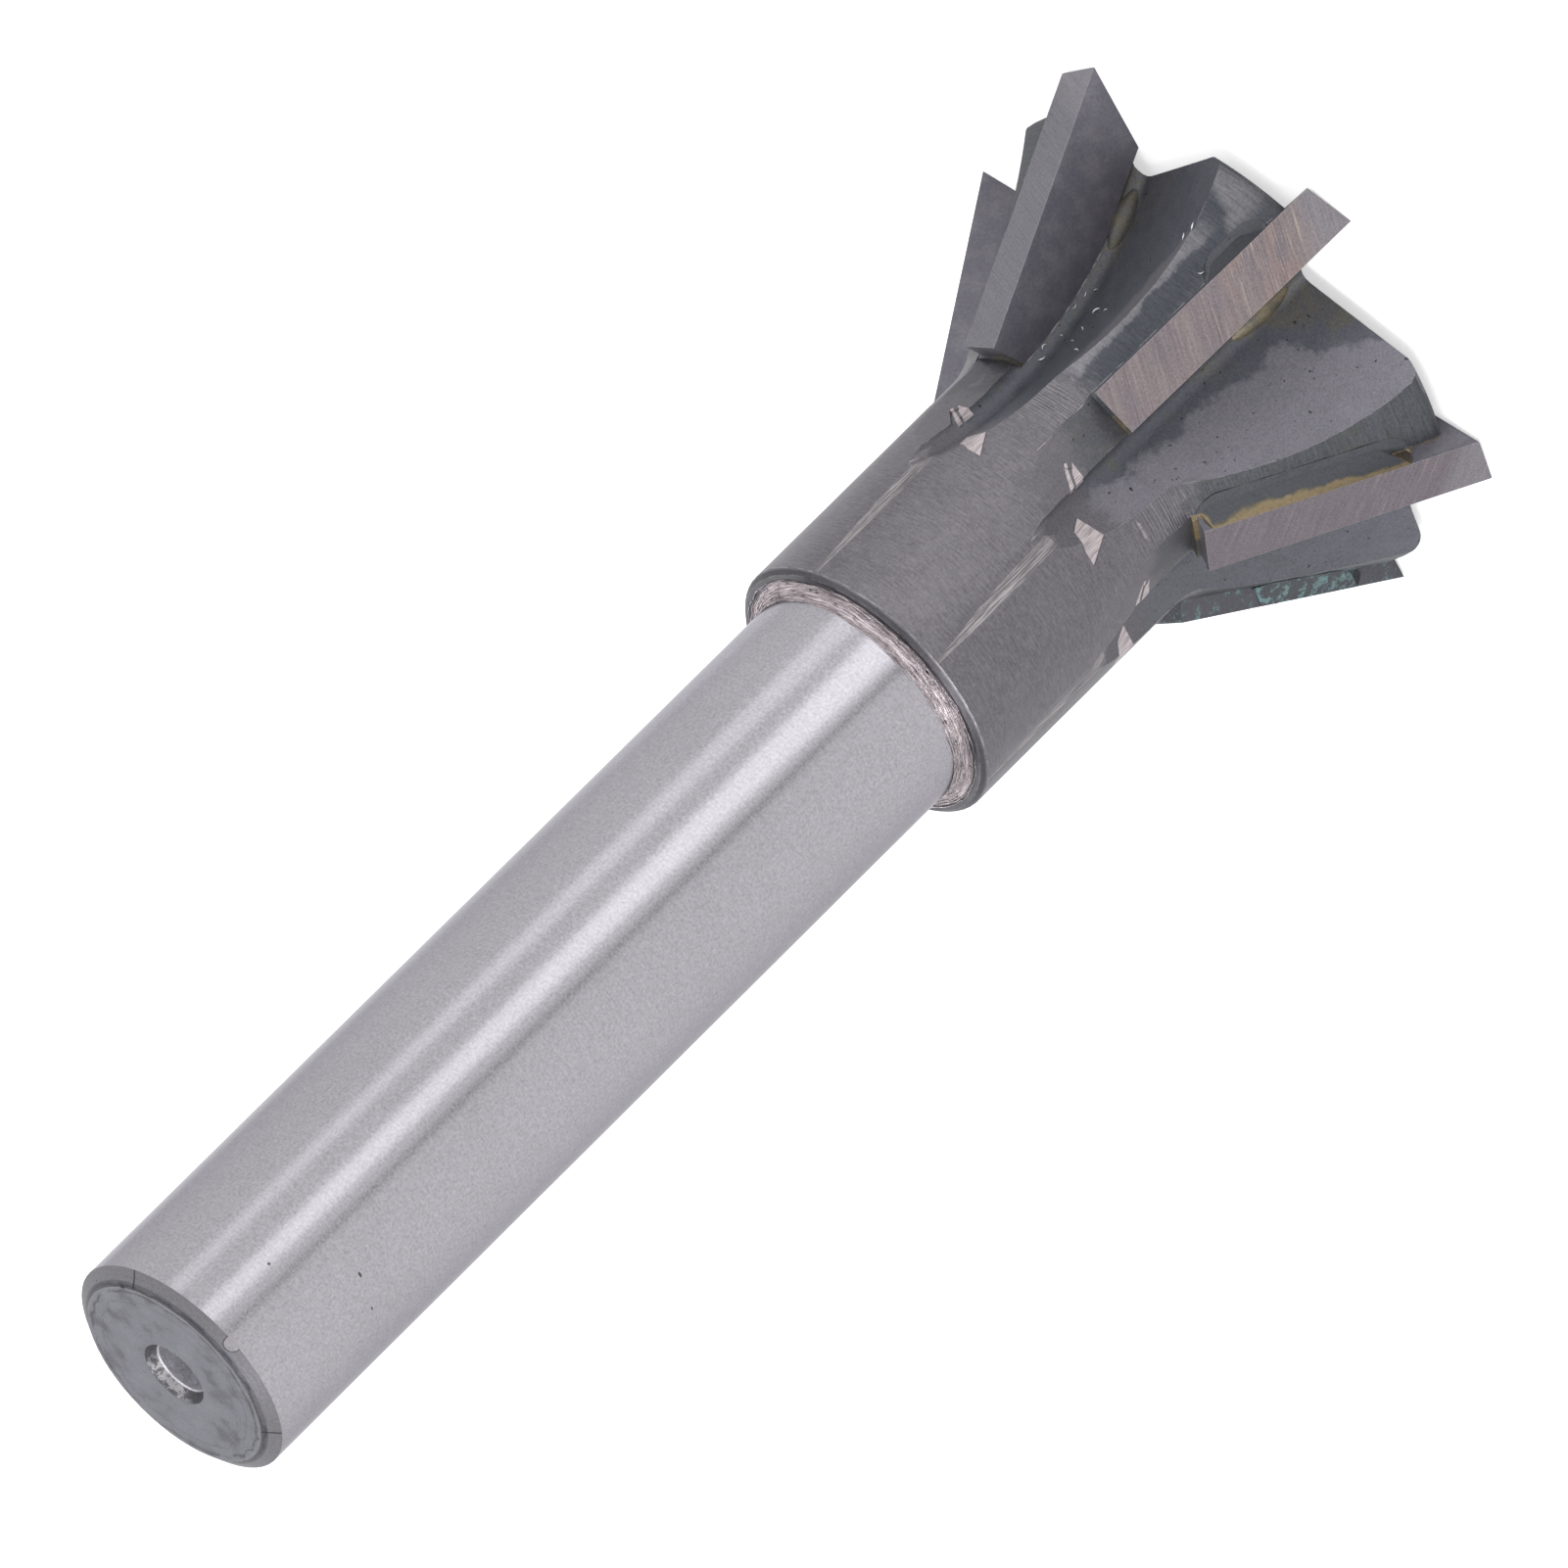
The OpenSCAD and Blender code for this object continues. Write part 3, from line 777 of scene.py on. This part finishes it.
def buildStrands(tree, given):
    # each strand starts as a straight line: x runs round the corner, y across it, z off the steel
    line = tree.add("GeometryNodeCurvePrimitiveLine", {},
                    {"Start": (-0.5, 0, 0), "End": (0.5, 0, 0)})
    line = tree.add("GeometryNodeResampleCurve", {}, {"Curve": line, "Count": 12})
    points = tree.add("GeometryNodePoints", {}, {"Count": given["Count"]})
    around = randomOf(tree, 0.0, 53.0, given["Seed"])
    across = randomOf(tree, -0.1, 1.55, given["Seed"] + 1.0)
    points = tree.add("GeometryNodeSetPosition", {},
                      {"Geometry": points, "Position": tree.point(around, across, 0.0)})
    length = randomOf(tree, given["Shortest"], given["Longest"], given["Seed"] + 2.0)
    laid = tree.add("GeometryNodeInstanceOnPoints", {},
                    {"Points": points, "Instance": line, "Scale": tree.point(length, 1.0, 1.0)})
    laid = tree.add("GeometryNodeRealizeInstances", {}, {"Geometry": laid})
    place = tree.add("GeometryNodeInputPosition")
    x = tree.add("ShaderNodeSeparateXYZ", inputs={0: place})
    y, z = (Wire(tree, x.socket.node.outputs[k]) for k in (1, 2))
    waver = tree.add("ShaderNodeTexNoise", {}, {"Vector": tree.point(x * 0.5, y * 2.0, 0.0), "Scale": 1.0,
                                               "Detail": 3.0})
    y = y + (waver - 0.5) * 0.5
    lift = tree.add("ShaderNodeTexNoise", {}, {"Vector": tree.point(x * 1.3, y * 9.0, 4.0), "Scale": 1.0,
                                              "Detail": 2.0})
    reach = given["Corner"] - 0.02 - (lift - 0.45).most(0.0) * 0.3
    turn = (y / given["Corner"]).most(0.0).least(math.pi / 2)
    beyond = (y - given["Corner"] * (math.pi / 2)).most(0.0)
    radius = 8.8 - reach * turn.cosine() + beyond
    height = tool["shoulderZ"] + given["Corner"] - reach * turn.sine() - y.least(0.0)
    angle = x / 8.4
    bent = tree.add("GeometryNodeSetPosition", {},
                    {"Geometry": laid, "Position": tree.point(radius * angle.cosine() * mm,
                                                              radius * angle.sine() * mm, height * mm)})
    ends = tree.add("GeometryNodeSplineParameter")
    swell = ((ends * math.pi).sine().most(0.05)) ** 0.5
    thick = randomOf(tree, given["Thinnest"], given["Thickest"], given["Seed"] + 3.0)
    ring = tree.add("GeometryNodeCurvePrimitiveCircle", {}, {"Resolution": 5, "Radius": mm})
    return tree.add("GeometryNodeCurveToMesh", {},
                    {"Curve": bent, "Profile Curve": ring, "Fill Caps": True, "Scale": swell * thick})


# Curled slivers of swarf that cling in the gullet between the first two teeth
swarfLook = {"Closeness": 0.9, "Seed": 12, "Smallest": 0.45, "Largest": 1.2}


def buildSlivers(tree, given):
    steel = tree.add("GeometryNodeObjectInfo", {"transform_space": "ORIGINAL"},
                     {"Object": given["Steel"]}, out="Geometry")
    place = tree.add("GeometryNodeInputPosition")
    x = tree.add("ShaderNodeSeparateXYZ", inputs={0: place})
    y, z = (Wire(tree, x.socket.node.outputs[k]) for k in (1, 2))
    # two spots: high in the gullet beside the first tip, and low at the foot of the second
    density = 0.0
    for spot, size in (((5.4, -14.4, 5.6), 1.8), ((7.6, -5.2, 9.6), 2.2), ((6.8, -4.8, 12.2), 1.6)):
        gap = (x / mm - spot[0]) ** 2 + (y / mm - spot[1]) ** 2 + (z / mm - spot[2]) ** 2
        density = gap.step(size * size * 0.2, size * size, 1.0, 0.0) + density
    spread = tree.add("GeometryNodeDistributePointsOnFaces", {"distribute_method": "RANDOM"},
                      {"Mesh": steel, "Density": density * given["Closeness"] * 1000000.0, "Seed": given["Seed"]})
    spin = Wire(tree, spread.socket.node.outputs["Rotation"])
    arc = tree.add("GeometryNodeCurveArc", {"mode": "RADIUS"},
                   {"Resolution": 8, "Radius": 0.3, "Sweep Angle": 1.9})
    ring = tree.add("GeometryNodeCurvePrimitiveCircle", {}, {"Resolution": 5, "Radius": 0.045})
    along = tree.add("GeometryNodeSplineParameter")
    sliver = tree.add("GeometryNodeCurveToMesh", {},
                      {"Curve": arc, "Profile Curve": ring, "Fill Caps": True,
                       "Scale": ((along * math.pi).sine().most(0.1))})
    size = randomOf(tree, given["Smallest"], given["Largest"], given["Seed"] + 1) * mm
    turned = tree.add("FunctionNodeRotateRotation", {"rotation_space": "LOCAL"},
                      {"Rotation": spin, "Rotate By": tree.add(
                          "FunctionNodeEulerToRotation", {},
                          {"Euler": tree.point(0.5, 0.0, randomOf(tree, 0.0, 6.28, given["Seed"] + 2))})})
    return tree.add("GeometryNodeInstanceOnPoints", {},
                    {"Points": spread, "Instance": sliver, "Rotation": turned,
                     "Scale": tree.point(size, size, size)})


def makeSwarf():
    f = Finish("swarf", 0.3, 0.5)
    speck = f.noise(f.place, 4.0, 2.0)
    return f.show(Base_Color=f.tone((0.85, 0.86, 0.88), 0.7 + speck * 0.6), Roughness=0.4 + speck * 0.2)


# Small drops of braze that ran along the beads
dropLook = {"Closeness": 0.25, "Seed": 21, "Smallest": 0.03, "Largest": 0.1}


def buildDrops(tree, given):
    seam = tree.add("GeometryNodeObjectInfo", {"transform_space": "ORIGINAL"},
                    {"Object": given["Seam"]}, out="Geometry")
    spread = tree.add("GeometryNodeDistributePointsOnFaces", {"distribute_method": "RANDOM"},
                      {"Mesh": seam, "Density": given["Closeness"] * 1000000.0, "Seed": given["Seed"]})
    spin = Wire(tree, spread.socket.node.outputs["Rotation"])
    ball = tree.add("GeometryNodeMeshIcoSphere", {}, {"Radius": 1.0, "Subdivisions": 2})
    size = randomOf(tree, given["Smallest"], given["Largest"], given["Seed"] + 1) * mm
    return tree.add("GeometryNodeInstanceOnPoints", {},
                    {"Points": spread, "Instance": ball, "Rotation": spin,
                     "Scale": tree.point(size, size, size * 0.6)})


# Floor, backdrop and lamps
studio = {
    "floorSize": 6.0,
    "floorColour": 0.86,
    "floorLift": 0.6,
    "ambient": 0.62,
    "lamps": [
        # name, azimuth, height, distance, size, power
        ("keyLamp", -60, 50, 0.9, 0.5, 4.2),
        ("fillLamp", 62, 35, 1.0, 0.6, 2.2),
        ("backLamp", 175, 40, 1.1, 0.6, 2.2),
    ],
    # strips that lie on the floor and show as highlights on the shank: azimuth, width, brightness
    "card": {"azimuth": -7, "width": 5, "shade": 0.3},
    "strips": [(16, 22, 1.0), (54, 16, 0.55), (160, 40, 0.3)],
}
camera = {"elevation": 26.1913, "azimuth": 1.3512, "roll": -134.6969, "distance": 1.61655,
          "aim": (-0.507, -2.491, 46.062), "lens": 603.558}


def seenBy(tree, rays):
    # 1 for the given kinds of ray, 0 for the rest
    path = tree.add("ShaderNodeLightPath").socket.node
    seen = Wire(tree, path.outputs[rays[0]])
    for ray in rays[1:]:
        seen = seen.most(Wire(tree, path.outputs[ray]))
    return seen


def makeStudio():
    world = bpy.data.worlds.new("studioAir")
    world.use_nodes = True
    bpy.context.scene.world = world
    air = Tree(world.node_tree)
    backdrop = world.node_tree.nodes["Background"]
    seen = seenBy(air, ("Is Camera Ray", "Is Glossy Ray", "Is Transmission Ray"))
    level = seen.step(0.0, 1.0, studio["ambient"], 1.0)
    world.node_tree.links.new(level.socket, backdrop.inputs["Strength"])
    backdrop.inputs["Color"].default_value = (1, 1, 1, 1)

    half = studio["floorSize"] / 2
    mesh = bpy.data.meshes.new("paleFloor")
    mesh.from_pydata([(-half, -half, 0), (half, -half, 0), (half, half, 0), (-half, half, 0)], [],
                     [(0, 1, 2, 3)])
    floor = bpy.data.objects.new("paleFloor", mesh)
    bpy.context.scene.collection.objects.link(floor)
    f = Finish("paleFloor", 0.0, 0.8)
    f.show(Base_Color=(studio["floorColour"],) * 3 + (1,), Emission_Strength=1.0,
           Emission_Color=f.mix(seenBy(f, ("Is Camera Ray",)), (0, 0, 0), (studio["floorLift"],) * 3))
    mesh.materials.append(f.material)

    for name, azimuth, height, distance, size, power in studio["lamps"]:
        lamp = bpy.data.lights.new(name, "AREA")
        lamp.shape = "DISK"
        lamp.size = size
        lamp.energy = power
        holder = bpy.data.objects.new(name, lamp)
        bpy.context.scene.collection.objects.link(holder)
        a, e = math.radians(azimuth), math.radians(height)
        away = Vector((math.sin(a) * math.cos(e), -math.cos(a) * math.cos(e), math.sin(e)))
        holder.location = Vector((0, 0, 0.045)) + away * distance
        holder.rotation_euler = (-away).to_track_quat("-Z", "Y").to_euler()
    for azimuth, width, brightness in studio["strips"]:
        near, far = 0.045, 0.26
        length = far - near
        breadth = 2 * (near + far) / 2 * math.tan(math.radians(width / 2))
        lamp = bpy.data.lights.new("floorStrip", "AREA")
        lamp.shape = "RECTANGLE"
        lamp.size, lamp.size_y = breadth, length
        lamp.energy = brightness * math.pi * breadth * length
        holder = bpy.data.objects.new("floorStrip", lamp)
        bpy.context.scene.collection.objects.link(holder)
        a = math.radians(azimuth + camera["azimuth"])
        outward = Vector((math.sin(a), -math.cos(a), 0))
        holder.location = outward * (near + far) / 2 + Vector((0, 0, 0.0005))
        # the lamp shines upward, its long side pointing away from the tool
        up = Vector((0, 0, -1))
        basis = Matrix((outward.cross(up), outward, up)).transposed()
        holder.rotation_euler = basis.to_euler()
        holder.visible_camera = False

    # a dark card on the floor gives the shank the dark line beside its highlight
    card = studio["card"]
    a = math.radians(card["azimuth"] + camera["azimuth"])
    outward, beside = Vector((math.sin(a), -math.cos(a), 0)), Vector((math.cos(a), math.sin(a), 0))
    reach = math.tan(math.radians(card["width"] / 2))
    corners = [outward * d + beside * d * reach * turn + Vector((0, 0, 0.0004))
               for d, turn in ((0.045, -1), (0.26, -1), (0.26, 1), (0.045, 1))]
    mesh = bpy.data.meshes.new("darkCard")
    mesh.from_pydata(corners, [], [(0, 1, 2, 3)])
    sheet = bpy.data.objects.new("darkCard", mesh)
    bpy.context.scene.collection.objects.link(sheet)
    f = Finish("darkCard", 0.0, 0.8)
    mesh.materials.append(f.show(Base_Color=(card["shade"],) * 3 + (1,)))
    sheet.visible_camera = False
    sheet.visible_diffuse = False
    print("lit the studio")


def makeCamera():
    a, e = math.radians(camera["azimuth"]), math.radians(camera["elevation"])
    roll = math.radians(camera["roll"])
    back = Vector((math.sin(a) * math.cos(e), -math.cos(a) * math.cos(e), math.sin(e)))
    levelRight = Vector((math.cos(a), math.sin(a), 0))
    levelUp = back.cross(levelRight)
    up = levelUp * math.cos(roll) - levelRight * math.sin(roll)
    right = up.cross(back)
    data = bpy.data.cameras.new("viewCamera")
    data.lens = camera["lens"]
    data.sensor_width = 36
    data.clip_end = 20
    holder = bpy.data.objects.new("viewCamera", data)
    bpy.context.scene.collection.objects.link(holder)
    holder.location = Vector(camera["aim"]) * mm + back * camera["distance"]
    holder.rotation_euler = Matrix((right, up, back)).transposed().to_euler()
    bpy.context.scene.camera = holder
    bpy.context.scene.view_settings.view_transform = "Standard"
    print("set the camera")


body = dressBody()
rake = makeRakeCarbide()
for tooth in range(tool["teeth"]):
    dressTip(tooth, rake)
brazes = dressBraze()
strandValues = {**strandLook, "Finish": makeTornSteel("strandSteel", 3.0)}
growPiece("tornStrands", strandValues, buildStrands)
growPiece("swarfSlivers", {**swarfLook, "Steel": body, "Finish": makeSwarf()}, buildSlivers)
for tooth in range(tool["teeth"]):
    dropValues = {**dropLook, "Seam": brazes[tooth], "Finish": brazes[tooth].data.materials[0]}
    growPiece("brazeDrops%d" % (tooth + 1), dropValues, buildDrops)
makeStudio()
makeCamera()
